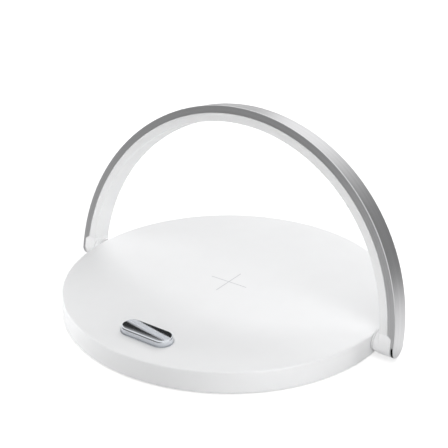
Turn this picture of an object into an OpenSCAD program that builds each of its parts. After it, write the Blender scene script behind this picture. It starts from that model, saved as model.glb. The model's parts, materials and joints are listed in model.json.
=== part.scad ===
/* [Base] */
// Diameter of the disc base
base_d = 176; // [160:1:220]
// Height of the top face above the surface it stands on
base_h = 12; // [12:0.5:18]
// Thickness of the base's top wall
top_wall = 1.5; // [1.2:0.1:2]
// Thickness of the base's side wall
side_wall = 2.4; // [2:0.1:4]
// Radius of the base's upper edge
top_edge_r = 0.8; // [0.3:0.1:1.2]
// Radius of the base's lower edge
low_edge_r = 0.5; // [0.2:0.1:1]
// Thickness of the bottom cover
floor_t = 2.2; // [1.8:0.1:2.6]
// Gap between the bottom cover's edge and the side wall
cover_gap = 0.15; // [0.1:0.05:0.4]

/* [Feet and screws] */
// Diameter of each rubber foot
foot_d = 14; // [8:1:20]
// Thickness of each rubber foot
foot_t = 1.5; // [1.2:0.1:1.8]
// How far the feet lift the base off the surface
foot_lift = 0.5; // [0.3:0.1:0.8]
// Distance of the feet's middles from the rim
foot_inset = 22; // [20:1:34]
// Direction of the feet, from the hinge axis
foot_angle = 45; // [36:1:60]
// Distance of the cover screws from the rim
screw_inset = 14; // [13:0.5:18]
// Direction of the cover screws, from the hinge axis
screw_angle = 35; // [30:1:60]
// Shank diameter of the screws
screw_d = 2.4; // [2:0.1:3]
// Head diameter of the screws
screw_head_d = 4.4; // [4:0.1:5]
// Height of the screw heads
screw_head_t = 1.2; // [1:0.1:1.3]
// Length of the cover screws under the head
screw_l = 6; // [4:0.5:7]
// Diameter of the pillars that take the cover screws
pillar_d = 6.4; // [5:0.2:8]

/* [Arm] */
// Gap between the rim of the base and the lamp face of the arm
ring_gap = 3.7; // [3:0.1:8]
// Width of the half ring, front to back
arc_w = 11.8; // [9:0.1:12]
// Radial depth of the whole arm, outer face to lamp face
arc_depth = 8.3; // [7.5:0.1:9]
// Depth of the aluminium channel
channel_depth = 3.9; // [3:0.1:4.5]
// Thickness of the channel's outer web
web_t = 1.6; // [1.2:0.1:1.8]
// Thickness of the channel's side flanges
flange_t = 1.2; // [0.8:0.1:1.6]
// Bevel on the channel's outer edges
band_bevel = 0.2; // [0.1:0.05:0.5]
// Wall of the opal lining
lining_wall = 1.4; // [1:0.1:1.8]
// Radius of the lining's inner edges
lining_edge_r = 0.5; // [0.3:0.1:1.3]
// Lean of the arm from the horizontal, in degrees
arm_tilt = 80.2; // [60:0.1:90]
// Distance of the ring's centre below the hinge axis, along the arm
ring_drop = 1.2; // [0:0.1:2]

/* [Hinge] */
// Height of the hinge axis above the surface
hinge_z = 7.2; // [6.9:0.1:7.3]
// Gap between the rim and the arm's bosses, filled by a spacer washer
rim_gap = 1.1; // [0.8:0.1:1.5]
// Depth of the flat seat in the rim behind each spacer washer
seat_depth = 0.25; // [0.2:0.05:0.6]
// Running gap between a spacer washer and its seat
run_gap = 0.3; // [0.2:0.05:0.5]
// Diameter of the spacer washers
spacer_d = 10.6; // [8:0.1:11]
// Bevel on the end of each boss
boss_bevel = 0.4; // [0.2:0.1:0.8]
// Step between the boss and the rounded end of the arm
boss_step = 0.35; // [0.05:0.05:0.4]
// How far the shaft reaches into the end cap
shaft_grip = 7; // [5:0.5:8]
// Diameter of the hollow hinge shaft
shaft_d = 4.5; // [4:0.1:4.8]
// Bore of the hollow hinge shaft
shaft_bore_d = 2.2; // [2:0.1:2.4]
// Radial clearance of the shaft in its bearing
bearing_fit = 0.05; // [0.02:0.01:0.1]
// Length of the bearing block along the axis
bearing_l = 14; // [10:0.5:16]
// Width of the bearing block
bearing_w = 10; // [8:0.5:12]
// Distance from the side wall's inner face to the bearing block
bearing_inset = 1.6; // [1.2:0.1:3]
// Reach of each bearing ear to the outside of its screw
ear_l = 6.5; // [6:0.5:8]
// Thickness of the bearing ears
ear_t = 2.4; // [2:0.1:3]
// Length of the bearing screws under the head
ear_screw_l = 4; // [3.5:0.5:4]
// Diameter of the friction washers and the slotted nut
washer_d = 6.2; // [5.6:0.1:6.4]
// Thickness of one friction washer
washer_t = 0.5; // [0.3:0.1:0.8]
// Friction washers on each side
washer_n = 3; // [1:1:4]
// Length of the slotted nut
nut_l = 2.6; // [2:0.1:4]
// Height above the axis at which the cap's outer zone meets the web
cap_low = 4.7; // [4:0.1:6]
// Height above the axis at which the cap meets the flange's inner edge
cap_high = 6.3; // [6:0.1:9]

/* [Stop bar] */
// Length of the stop bar
stop_l = 29.3; // [22:0.1:40]
// Width of the stop bar
stop_w = 11.2; // [8:0.1:13]
// Height of the stop bar above the top face
stop_rise = 2.9; // [2.5:0.1:3.6]
// Radius of the stop bar's upper edge
stop_edge_r = 0.9; // [0.3:0.1:1.4]
// Distance of the stop bar's middle from the rim
stop_inset = 20; // [17:0.1:24]
// Gap around the stop bar in its slot
slot_gap = 0.3; // [0.2:0.05:0.5]
// Bevel on the slot's edge
slot_bevel = 0.4; // [0.2:0.1:0.6]
// Overlap of the carrier plate under the top wall
carrier_lip = 1.3; // [1:0.1:2]
// Thickness of the carrier plate
carrier_t = 1.2; // [1:0.1:1.4]
// Gap left over the carrier plate when the bar stands out
carrier_play = 0.15; // [0.1:0.05:0.2]
// Wall of the guide around the carrier
guide_wall = 1.2; // [1:0.1:1.6]
// Floor thickness of the guide
guide_floor = 1; // [0.8:0.1:1.2]
// Coil diameter of the return springs
spring_d = 4.2; // [3.4:0.1:4.6]
// Wire diameter of the return springs
spring_wire = 0.35; // [0.25:0.05:0.4]
// Turns of each return spring
spring_turns = 4; // [3:0.5:5]
// Distance of each spring from the middle of the bar
spring_reach = 9.5; // [8:0.5:10]
// Diameter of the carrier's pegs
peg_d = 2.6; // [2:0.1:3]
// Width of the hook that enters the latch
hook_w = 1.8; // [1.2:0.1:2.4]

/* [Charger] */
// Outer diameter of the coil winding
coil_d = 46; // [36:1:50]
// Inner diameter of the coil winding
coil_hole_d = 20; // [14:1:24]
// Thickness of the coil wire
coil_wire = 1.3; // [1:0.1:1.5]
// Diameter of the ferrite disc
ferrite_d = 52; // [48:1:54]
// Thickness of the ferrite disc
ferrite_t = 1; // [0.6:0.1:1.2]
// Thickness of the coil tray's walls and floor
tray_t = 1.2; // [1:0.1:1.4]
// Half length of the cross mark
mark_reach = 11.2; // [8:0.1:16]
// Line width of the cross mark
mark_w = 0.5; // [0.3:0.1:1]
// Depth of the cross mark's groove
mark_t = 0.15; // [0.1:0.05:0.3]

/* [Ballast] */
// Distance of the ballast plate's edge from the rim
ballast_inset = 28; // [26:1:34]
// Room around the coil tray inside the ballast plate
ballast_room = 5; // [3:0.5:9]
// Gap between the ballast plate and the parts that it leaves room for
ballast_gap = 2.5; // [1:0.5:4]
// Thickness of the ballast plate
ballast_t = 2; // [1:0.1:2.2]

/* [Circuit board] */
// Width of the circuit board
board_w = 56; // [48:1:60]
// Depth of the circuit board's main part
board_l = 30; // [28:1:32]
// Thickness of the circuit board
board_t = 1.2; // [1:0.1:1.4]
// Distance of the circuit board's front edge from the rim
board_inset = 47; // [45:0.5:48]
// Grid step on which the board's parts are placed and sized
grid = 1; // [0.9:0.05:1.15]
// Height of the pegs' shoulders under the board
shoulder_h = 1.8; // [1.5:0.1:2]
// Width of the power inlet's shell
inlet_w = 8.94; // [8:0.02:10]
// Height of the power inlet's shell
inlet_h = 3.26; // [3:0.02:3.4]
// Length of the power inlet's shell
inlet_l = 7.4; // [6:0.1:9]
// Gap around the power inlet in the side wall
inlet_gap = 0.3; // [0.2:0.05:0.5]
// Depth of the inlet's mouth behind the rim
inlet_sink = 1.2; // [0.8:0.1:2]

/* [Lamp] */
// Gap between the light strip and each flange
strip_gap = 0.45; // [0.1:0.05:0.8]
// Thickness of the light strip
strip_t = 0.6; // [0.3:0.1:0.7]
// Number of light chips
chip_n = 44; // [20:1:50]
// Length of a light chip along the strip
chip_l = 3.5; // [2:0.1:3.6]
// Width of a light chip
chip_w = 2.8; // [2:0.1:3.6]
// Thickness of a light chip
chip_t = 0.7; // [0.4:0.1:1]
// Diameter of the lamp's lead
lead_d = 1.6; // [1.2:0.1:1.8]
// Straight run of the lamp's lead before it enters the shaft
lead_run = 11; // [8:1:14]
// Width of the lead's channel in the end caps
channel_w = 3; // [2.4:0.2:3.2]

/* [Hidden] */
$fn = 96;
// Overrun of a cutting shape past the face that it opens
cut = 1;
// Gap between pieces of one body that only lie against each other
ease = 0.05;

base_r = base_d / 2;
inner_r = base_r - side_wall;
floor_z = foot_lift + floor_t;
roof_z = base_h - top_wall;
hollow_h = roof_z - floor_z;

foot_reach = base_r - foot_inset;
screw_reach = base_r - screw_inset;

ring_r = base_r + ring_gap + arc_depth;
web_r = ring_r - web_t;
flange_r = ring_r - channel_depth;
lamp_r = ring_r - arc_depth;
half_w = arc_w / 2;
cap_angle = asin((cap_high + ring_drop) / flange_r);
spigot_angle = cap_angle + 3.6;
strip_angle = spigot_angle + 0.6;
spigot_r = lamp_r + lining_wall;
spigot_half_w = half_w - flange_t - ease - lining_wall;
strip_w = arc_w - 2 * flange_t - 2 * strip_gap;

seat_x = base_r - seat_depth;
boss_x = base_r + rim_gap;
boss_r = half_w - boss_step;
shaft_r = shaft_d / 2;
bearing_x = inner_r - bearing_inset;
bearing_low_x = bearing_x - bearing_l;
washer_x = bearing_low_x - 2 * ease;
nut_x = washer_x - washer_n * washer_t;
shaft_low_x = nut_x - nut_l - 0.8;
shaft_high_x = boss_x + shaft_grip;
ear_d = screw_head_d + 1.2;
ear_y = bearing_w / 2 + ear_l - ear_d / 2;

stop_reach = base_r - stop_inset;
plate_z = roof_z - carrier_play;
bar_h = base_h + stop_rise - plate_z;
guide_z = floor_z + guide_floor;
carrier_l = stop_l + 2 * carrier_lip;
carrier_w = stop_w + 2 * carrier_lip;
guide_l = carrier_l + 2 * slot_gap;
guide_w = carrier_w + 2 * slot_gap;
plate_low_z = plate_z - carrier_t;
latch_h = plate_low_z - stop_rise - guide_z - 2 * carrier_play;
hook_l = latch_h - 2 * carrier_play;

coil_z = roof_z - 0.2;
ferrite_z = coil_z - coil_wire;
tray_z = ferrite_z - ferrite_t;
coil_span = (coil_d - coil_hole_d) / 2 - coil_wire;
coil_steps = ceil(coil_span / (coil_wire * 0.96));
tray_d = ferrite_d + 2 * tray_t + 0.6;
ballast_hole_d = tray_d + 2 * ballast_room;
ballast_r = base_r - ballast_inset;

board_y = base_r - board_inset;
board_z = floor_z + shoulder_h;
board_top = board_z + board_t;
inlet_z = board_top + inlet_h / 2 + ease;
inlet_y = base_r - inlet_sink;
board_back_y = inlet_y - 2.5 * grid;
peg_xs = [4 * grid - board_w / 2, board_w / 2 - 4 * grid];
peg_ys = [board_y + 4 * grid, board_y + board_l - 4 * grid];
plug_z = board_top + 1.7 * grid;
coil_plug_y = board_y + 1.2 * grid;
lamp_plug = [14 * grid, board_y + 4 * grid];

// Board parts in grid steps: middle from the front left corner, then width, depth and height
board_chips = [[8, 9, 7, 7, 3], [17, 6, 5, 4, 2.6], [17, 11, 5, 4, 2.6], [17, 16, 5, 4, 2.6],
    [8, 19, 6, 6, 1], [24, 18, 5, 5, 0.9], [31, 18, 5, 4, 1.5], [38, 19, 3.3, 3.3, 0.9],
    [43, 19, 3.3, 3.3, 0.9], [38, 24, 3.3, 3.3, 0.9], [43, 24, 3.3, 3.3, 0.9],
    [26, 25, 2, 1.25, 0.6], [30, 25, 2, 1.25, 0.6], [16, 24, 2, 1.25, 0.6]];

// A piece at the right end of the hinge and its mirror image at the left end
module both_sides() {
    children();
    mirror([1, 0, 0]) children();
}

// From the arm's own plane, hinge axis at its origin, to the leaning arm
module on_arm() {
    translate([0, 0, hinge_z]) rotate([arm_tilt, 0, 0]) children();
}

// A cylinder along X from one station to another, on the hinge axis
module along_x(x0, x1, r) {
    translate([x0, 0, 0]) rotate([0, 90, 0]) cylinder(r = r, h = x1 - x0);
}

module on_axis() {
    translate([0, 0, hinge_z]) children();
}

// Four places around the base, each turned outwards
module at_corners(reach, turn) {
    for (a = [turn, 180 - turn, 180 + turn, -turn]) rotate([0, 0, a]) translate([reach, 0, 0]) children();
}

// A long round-ended outline, centred, its length along X
module stadium(l, w) {
    square([l - w, w], center = true);
    for (side = [-1, 1]) translate([side * (l - w) / 2, 0]) circle(d = w);
}

module at_stop() {
    translate([0, -stop_reach, 0]) children();
}

// Points of a route with its corners cut off, three times over
function cut_corners(p) = concat([p[0]],
    [for (i = [0 : len(p) - 2]) each [p[i] * 0.75 + p[i + 1] * 0.25, p[i] * 0.25 + p[i + 1] * 0.75]],
    [p[len(p) - 1]]);
function smooth(p, times) = times == 0 ? p : smooth(cut_corners(p), times - 1);

function unit(v) = v / norm(v);
function heading(p, i) = unit(p[min(i + 1, len(p) - 1)] - p[max(i - 1, 0)]);

// A round wire swept along points; up must never lie along the route
module wire(p, d, up, sides = 8) {
    n = len(p);
    rings = [for (i = [0 : n - 1])
        let (t = heading(p, i), u = unit(cross(up, t)), v = cross(t, u))
        each [for (k = [0 : sides - 1])
            p[i] + d / 2 * (u * cos(360 * k / sides) + v * sin(360 * k / sides))]];
    skin = [for (i = [0 : n - 2], k = [0 : sides - 1])
        let (a = i * sides + k, b = i * sides + (k + 1) % sides)
        [a, a + sides, b + sides, b]];
    polyhedron(points = rings, faces = concat(skin,
        [[for (k = [0 : sides - 1]) k]],
        [[for (k = [0 : sides - 1]) n * sides - 1 - k]]));
}

// A helical spring from z0 to z1 whose end turns lie flat
module coil_spring(z0, z1, d, wire_d, turns) {
    steps = 16;
    n = (turns + 1.5) * steps;
    lift = function (i) let (q = (i / steps - 0.75) / turns) max(0, min(1, q));
    wire([for (i = [0 : n])
        [d / 2 * cos(i * 360 / steps), d / 2 * sin(i * 360 / steps),
            z0 + wire_d / 2 + lift(i) * (z1 - z0 - wire_d)]], wire_d, [0, 0, 1], 6);
}

// A pan-head screw, head upwards, its seat at the origin
module screw(l) {
    difference() {
        union() {
            cylinder(d = screw_head_d, h = screw_head_t);
            translate([0, 0, -l]) cylinder(d = screw_d, h = l + screw_head_t / 2);
        }
        for (turn = [0, 90]) rotate([0, 0, turn])
            translate([-screw_head_d * 0.3, -0.3, screw_head_t / 2])
                cube([screw_head_d * 0.6, 0.6, screw_head_t]);
    }
}

/* Base */

// Half section of the disc's outside, with rounded rim edges
module rim_section() {
    h = base_h - foot_lift;
    translate([0, foot_lift]) {
        square([base_r - max(top_edge_r, low_edge_r), h]);
        translate([0, low_edge_r]) square([base_r, h - low_edge_r - top_edge_r]);
        square([base_r - low_edge_r, h / 2]);
        translate([0, h / 2]) square([base_r - top_edge_r, h / 2]);
        translate([base_r - low_edge_r, low_edge_r]) circle(low_edge_r);
        translate([base_r - top_edge_r, h - top_edge_r]) circle(top_edge_r);
    }
}

module top_shell() {
    rotate_extrude($fn = 180) difference() {
        rim_section();
        translate([-cut, foot_lift - cut]) square([inner_r + cut, roof_z - foot_lift + cut]);
    }
}

module stop_slot() {
    at_stop() {
        translate([0, 0, roof_z - cut]) linear_extrude(top_wall + 2 * cut)
            stadium(stop_l + 2 * slot_gap, stop_w + 2 * slot_gap);
        slot_edge();
    }
}

// The bevel round the slot: two straight sides and two round ends
module slot_edge() {
    w = stop_w + 2 * slot_gap;
    l = stop_l - stop_w;
    translate([0, 0, base_h - slot_bevel]) {
        for (side = [-1, 1]) translate([side * l / 2, 0, 0])
            cylinder(r1 = w / 2, r2 = w / 2 + slot_bevel + 0.1, h = slot_bevel + 0.1);
        translate([-l / 2, 0, 0]) rotate([90, 0, 90]) linear_extrude(l)
            polygon([[-w / 2, 0], [w / 2, 0], [w / 2 + slot_bevel + 0.1, slot_bevel + 0.1],
                [-w / 2 - slot_bevel - 0.1, slot_bevel + 0.1]]);
    }
}

module inlet_hole() {
    translate([0, inner_r - cut, inlet_z]) rotate([-90, 0, 0]) linear_extrude(side_wall + 2 * cut)
        stadium(inlet_w + 2 * inlet_gap, inlet_h + 2 * inlet_gap);
}

module hinge_seats() {
    on_axis() both_sides() {
        along_x(seat_x, base_r + cut, spacer_d / 2 + run_gap);
        along_x(inner_r - cut, base_r, shaft_r + run_gap);
    }
}

module cross_mark(h) {
    linear_extrude(h) {
        square([2 * mark_reach, mark_w], center = true);
        square([mark_w, 2 * mark_reach], center = true);
    }
}

module top_cover() {
    color([0.94, 0.94, 0.95]) difference() {
        union() {
            top_shell();
            at_corners(screw_reach, screw_angle) translate([0, 0, floor_z])
                cylinder(d = pillar_d, h = hollow_h + top_wall / 2, $fn = 48);
        }
        stop_slot();
        inlet_hole();
        hinge_seats();
        translate([0, 0, base_h - mark_t]) cross_mark(mark_t + cut);
        at_corners(screw_reach, screw_angle) translate([0, 0, floor_z - cut])
            cylinder(d = screw_d + 2 * ease, h = screw_l - floor_t + screw_head_t + 2 * cut, $fn = 32);
    }
}

module charge_mark() {
    color([0.66, 0.67, 0.69]) translate([0, 0, base_h - mark_t]) cross_mark(mark_t);
}

module bottom_cover() {
    color([0.9, 0.9, 0.9]) difference() {
        union() {
            translate([0, 0, foot_lift]) cylinder(r = inner_r - cover_gap, h = floor_t, $fn = 180);
            for (x = peg_xs, y = peg_ys) translate([x, y, floor_z - ease]) {
                cylinder(d = 4, h = shoulder_h + ease, $fn = 32);
                cylinder(d = 2, h = shoulder_h + board_t + 0.6, $fn = 32);
            }
        }
        at_corners(foot_reach, foot_angle) translate([0, 0, foot_lift - cut])
            cylinder(d = foot_d + 2 * cover_gap, h = foot_t - foot_lift + cut);
        at_corners(screw_reach, screw_angle) {
            translate([0, 0, foot_lift - cut])
                cylinder(d = screw_head_d + 0.8, h = screw_head_t + cut, $fn = 48);
            cylinder(d = screw_d + 0.4, h = floor_z + cut, $fn = 32);
        }
        both_sides() for (side = [-1, 1])
            translate([bearing_x - bearing_l / 2, side * ear_y, floor_z + ear_t - ear_screw_l - ease])
                cylinder(d = screw_d + 2 * ease, h = ear_screw_l, $fn = 32);
    }
}

module rubber_feet() {
    color([0.78, 0.78, 0.78]) at_corners(foot_reach, foot_angle) rotate_extrude() difference() {
        square([foot_d / 2, foot_t]);
        translate([foot_d / 2, 0]) rotate(45) square(0.4, center = true);
    }
}

module cover_screws() {
    color([0.5, 0.5, 0.52]) at_corners(screw_reach, screw_angle)
        translate([0, 0, foot_lift + screw_head_t]) rotate([180, 0, 0]) screw(screw_l);
}

// A steel ring with a flat at the stop bar, open at the back for the circuit board
module ballast_plate() {
    color([0.45, 0.46, 0.48]) translate([0, 0, floor_z]) linear_extrude(ballast_t) difference() {
        circle(ballast_r);
        circle(d = ballast_hole_d);
        translate([-board_w / 2 - ballast_gap, 0]) square([board_w + 2 * ballast_gap, base_r]);
        translate([-guide_l / 2 - guide_wall - ballast_gap, -base_r])
            square([guide_l + 2 * (guide_wall + ballast_gap),
                base_r - stop_reach + guide_w / 2 + guide_wall + ballast_gap]);
    }
}

/* Charger */

module coil_tray() {
    color([0.2, 0.21, 0.22]) difference() {
        union() {
            translate([0, 0, tray_z - tray_t])
                cylinder(d = tray_d, h = tray_t + ferrite_t + coil_wire / 2);
            for (turn = [30, 150, 270]) rotate([0, 0, turn]) translate([19, 0, floor_z])
                cylinder(d = 5, h = tray_z - floor_z - tray_t / 2, $fn = 32);
        }
        translate([0, 0, tray_z]) cylinder(d = ferrite_d + 0.6, h = hollow_h);
        translate([-6, ferrite_d / 2 - 4, tray_z + ease]) cube([12, 8, hollow_h]);
    }
}

module ferrite_disc() {
    color([0.12, 0.12, 0.13]) translate([0, 0, tray_z]) cylinder(d = ferrite_d, h = ferrite_t);
}

// Turns of wire side by side, each a ring stuck to the next
module charging_coil() {
    color([0.72, 0.45, 0.28]) translate([0, 0, ferrite_z + coil_wire / 2]) rotate_extrude()
        for (k = [0 : coil_steps])
            translate([(coil_hole_d + coil_wire) / 2 + k * coil_span / coil_steps, 0])
                circle(d = coil_wire, $fn = 24);
}

// Two leads: level out of the tray's notch, then down to their plug on the board
module coil_leads() {
    z = ferrite_z + coil_wire / 2;
    route = [[coil_d / 2 + 0.2, z], [tray_d / 2 + 1, z],
        [(tray_d / 2 + coil_plug_y) / 2, plug_z], [coil_plug_y, plug_z]];
    color([0.75, 0.2, 0.15]) for (side = [-1, 1])
        wire([for (q = smooth(route, 3)) [side * 2.2, q[0], q[1]]], coil_wire - 0.2, [1, 0, 0]);
}

/* Circuit board */

module board_outline() {
    translate([-board_w / 2, board_y]) square([board_w, board_l]);
    translate([-8 * grid, board_y + board_l - cut])
        square([16 * grid, board_back_y - board_y - board_l + cut]);
}

module main_board() {
    color([0.12, 0.36, 0.22]) translate([0, 0, board_z]) linear_extrude(board_t) difference() {
        board_outline();
        for (x = peg_xs, y = peg_ys) translate([x, y]) circle(d = 2 + 4 * ease, $fn = 32);
    }
}

module board_parts() {
    color([0.16, 0.16, 0.17]) for (c = board_chips * grid)
        translate([c[0] - board_w / 2 - c[2] / 2, board_y + c[1] - c[3] / 2, board_top])
            cube([c[2], c[3], c[4]]);
    // Plug housings of the coil's and the lamp's leads
    plug_h = 2 * (plug_z - board_top);
    color([0.92, 0.9, 0.84]) {
        translate([-4 * grid, coil_plug_y, board_top]) cube([8 * grid, 4 * grid, plug_h]);
        translate([lamp_plug[0] - 5 * grid, lamp_plug[1] - 2 * grid, board_top])
            cube([5 * grid, 4 * grid, plug_h]);
    }
}

module usb_socket() {
    wall = 0.3;
    color([0.75, 0.76, 0.78]) translate([0, inlet_y - inlet_l, inlet_z]) rotate([-90, 0, 0]) {
        difference() {
            linear_extrude(inlet_l) stadium(inlet_w, inlet_h);
            translate([0, 0, 1]) linear_extrude(inlet_l) stadium(inlet_w - 2 * wall, inlet_h - 2 * wall);
        }
        translate([-3.35, -0.35, 0.5]) cube([6.7, 0.7, inlet_l - 1.5]);
    }
}

module touch_spring() {
    color([0.8, 0.66, 0.36]) translate([board_w / 2 - 8 * grid, board_y + 9 * grid, 0])
        coil_spring(board_top, roof_z - ease, 5, 0.5, 4);
}

/* Hinge */

module hinge_bracket() {
    color([0.55, 0.56, 0.58]) difference() {
        union() {
            translate([bearing_low_x, -bearing_w / 2, floor_z])
                cube([bearing_l, bearing_w, hollow_h - ease]);
            translate([bearing_x - bearing_l / 2, 0, floor_z]) rotate([0, 0, 90])
                linear_extrude(ear_t) stadium(2 * ear_y + ear_d, ear_d);
        }
        on_axis() along_x(bearing_low_x - cut, bearing_x + cut, shaft_r + bearing_fit);
        for (side = [-1, 1]) translate([bearing_x - bearing_l / 2, side * ear_y, floor_z - cut])
            cylinder(d = screw_d + 0.3, h = ear_t + 2 * cut, $fn = 32);
    }
}

module hinge_bracket_right() { hinge_bracket(); }
module hinge_bracket_left() { mirror([1, 0, 0]) hinge_bracket(); }

module bracket_screws() {
    color([0.5, 0.5, 0.52]) both_sides() for (side = [-1, 1])
        translate([bearing_x - bearing_l / 2, side * ear_y, floor_z + ear_t]) screw(ear_screw_l - 0.3);
}

module hinge_shaft() {
    color([0.7, 0.71, 0.73]) on_axis() difference() {
        along_x(shaft_low_x, shaft_high_x, shaft_r);
        along_x(shaft_low_x - cut, shaft_high_x + cut, shaft_bore_d / 2);
    }
}

module hinge_shaft_right() { hinge_shaft(); }
module hinge_shaft_left() { mirror([1, 0, 0]) hinge_shaft(); }

// A ring on the shaft, from one station to another
module collar(x0, x1, d) {
    difference() {
        along_x(x0, x1, d / 2);
        along_x(x0 - cut, x1 + cut, shaft_r + ease / 2);
    }
}

module spacer_washers() {
    color([0.5, 0.5, 0.51]) on_axis() both_sides() collar(seat_x + run_gap, boss_x - ease, spacer_d);
}

module friction_washers() {
    color([0.8, 0.78, 0.7]) on_axis() both_sides() for (k = [1 : washer_n])
        collar(washer_x - k * washer_t, washer_x - (k - 1) * washer_t - ease, washer_d);
}

module shaft_nuts() {
    color([0.62, 0.63, 0.65]) on_axis() both_sides() difference() {
        collar(nut_x - nut_l, nut_x - ease, washer_d);
        translate([nut_x - nut_l - cut, -washer_d / 2 - cut, -0.5]) cube([1 + cut, washer_d + 2 * cut, 1]);
    }
}

// Room for the lead: from the cap's mouth to the light strip
module cap_channel() {
    translate([shaft_high_x - lead_d, -shaft_r, -channel_w / 2])
        cube([ring_r - shaft_high_x + lead_d, ring_r, channel_w]);
}

// Face of the arm's end in its own plane: round below the axis, straight above it
module end_mask() {
    rotate([90, 0, 90]) translate([0, 0, -ring_r - cut]) linear_extrude(2 * (ring_r + cut)) {
        circle(half_w);
        translate([0, -half_w]) square([ring_r + cut, arc_w]);
    }
}

module turned(from, to) {
    translate([0, -ring_drop, 0]) rotate([0, 0, from]) rotate_extrude(angle = to - from, $fn = 180)
        children();
}

// Everything nearer the hinge than the slanted seam, as seen along the ring's own axis
module below_seam(outer, overrun = 0) {
    low = [web_r, cap_low];
    high = [flange_r * cos(cap_angle), cap_high];
    linear_extrude(2 * arc_w, center = true) intersection() {
        translate([0, -ring_drop]) circle(outer, $fn = 180);
        polygon([[0, -ring_r], [ring_r, -ring_r], [ring_r, cap_low], low,
            high + overrun * unit(high - low), [0, -ring_drop]]);
    }
}

// Section of the arm inside its web, with the lamp face's rounded edges
module lamp_section(outer) {
    e = lining_edge_r;
    translate([lamp_r + e, -half_w]) square([outer - lamp_r - e, arc_w]);
    translate([lamp_r, e - half_w]) square([outer - lamp_r, arc_w - 2 * e]);
    for (side = [-1, 1]) translate([lamp_r + e, side * (half_w - e)]) circle(e, $fn = 32);
}

module end_cap() {
    color([0.93, 0.93, 0.94]) on_arm() difference() {
        union() {
            along_x(boss_x + boss_bevel, lamp_r + 2, boss_r);
            translate([boss_x, 0, 0]) rotate([0, 90, 0])
                cylinder(r1 = boss_r - boss_bevel, r2 = boss_r, h = boss_bevel);
            intersection() {
                turned(-8, cap_angle + 4) lamp_section(web_r - ease);
                below_seam(web_r);
                end_mask();
            }
            turned(0, spigot_angle) translate([spigot_r + ease, -spigot_half_w + ease])
                square([web_r - strip_t - 2 * chip_t - spigot_r, 2 * (spigot_half_w - ease)]);
        }
        along_x(boss_x - cut, shaft_high_x, shaft_r + ease / 2);
        cap_channel();
    }
}

module end_cap_right() { end_cap(); }
module end_cap_left() { mirror([1, 0, 0]) end_cap(); }

/* Arm */

module band_section() {
    b = band_bevel;
    difference() {
        polygon([[flange_r, -half_w], [ring_r - b, -half_w], [ring_r, b - half_w],
            [ring_r, half_w - b], [ring_r - b, half_w], [flange_r, half_w]]);
        translate([flange_r - cut, flange_t - half_w])
            square([web_r - flange_r + cut, arc_w - 2 * flange_t]);
    }
}

module arc_band() {
    color([0.62, 0.62, 0.63]) on_arm() difference() {
        intersection() {
            turned(-8, 188) band_section();
            end_mask();
        }
        both_sides() below_seam(web_r + ease / 2, cut);
    }
}

module arc_diffuser() {
    inner_w = half_w - flange_t - ease;
    color([0.97, 0.97, 0.96, 0.9]) on_arm() turned(cap_angle, 180 - cap_angle) difference() {
        union() {
            lamp_section(flange_r - ease);
            translate([flange_r - cut, -inner_w])
                square([web_r - strip_t - flange_r + cut - ease, 2 * inner_w]);
        }
        translate([spigot_r, -spigot_half_w]) square([arc_depth, 2 * spigot_half_w]);
    }
}

module led_strip() {
    color([0.95, 0.95, 0.9]) on_arm() turned(strip_angle, 180 - strip_angle)
        translate([web_r - strip_t, -strip_w / 2]) square([strip_t, strip_w]);
}

module led_chips() {
    step = (180 - 2 * strip_angle) / chip_n;
    color([0.98, 0.9, 0.5]) on_arm() translate([0, -ring_drop, 0]) for (k = [0.5 : chip_n - 0.5])
        rotate([0, 0, strip_angle + k * step])
            translate([web_r - strip_t - chip_t - ease / 2, -chip_l / 2, -chip_w / 2])
                cube([chip_t, chip_l, chip_w]);
}

// From its plug on the board, level with the hinge axis, then through the hollow shaft
module lamp_lead() {
    x = shaft_low_x - lead_run;
    y = lamp_plug[1];
    bends = smooth([lamp_plug, [x * 0.4, y], [x * 0.56, y * 0.92], [x * 0.85, y * 0.7],
        [x * 0.98, y * 0.35], [x, 0], [x + lead_run * 0.6, 0], [shaft_low_x + cut, 0]], 3);
    route = concat([for (q = bends) [q[0], q[1], 0]],
        [[bearing_x, 0, 0], [shaft_high_x - ease, 0, 0]]);
    color([0.9, 0.9, 0.9]) on_axis() wire(route, lead_d, [0, 0, 1]);
}

// From the shaft's mouth up to the light strip, on which its end is soldered
module strip_lead() {
    d = lead_d * 0.75;
    end_a = strip_angle + 0.4;
    end_r = web_r - strip_t - d / 2;
    route = smooth([[shaft_high_x + run_gap, 0], [shaft_high_x + 1, 0], [shaft_high_x + 1, 5],
        [end_r * cos(end_a), end_r * sin(end_a) - ring_drop]], 3);
    color([0.9, 0.9, 0.9]) on_arm() wire([for (q = route) [q[0], q[1], 0]], d, [0, 0, 1]);
}

/* Stop bar */

module stop_bar() {
    color([0.8, 0.81, 0.83]) at_stop() difference() {
        translate([0, 0, plate_z]) rounded_bar(bar_h);
        for (side = [-1, 1]) translate([side * peg_reach(), 0, plate_z - cut])
            cylinder(d = peg_d + 2 * ease, h = 2.5 + cut, $fn = 48);
    }
}

function peg_reach() = (stop_l - stop_w) / 2 - 1;

// Half section of the bar, its upper edge rounded
module bar_section(h) {
    r = stop_w / 2;
    e = stop_edge_r;
    square([r - e, h]);
    square([r, h - e]);
    translate([r - e, h - e]) circle(e, $fn = 32);
}

module rounded_bar(h) {
    l = stop_l - stop_w;
    for (side = [-1, 1]) translate([side * l / 2, 0, 0]) rotate_extrude() bar_section(h);
    translate([-l / 2, 0, 0]) rotate([90, 0, 90]) linear_extrude(l) {
        bar_section(h);
        mirror([1, 0]) bar_section(h);
    }
}

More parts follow.
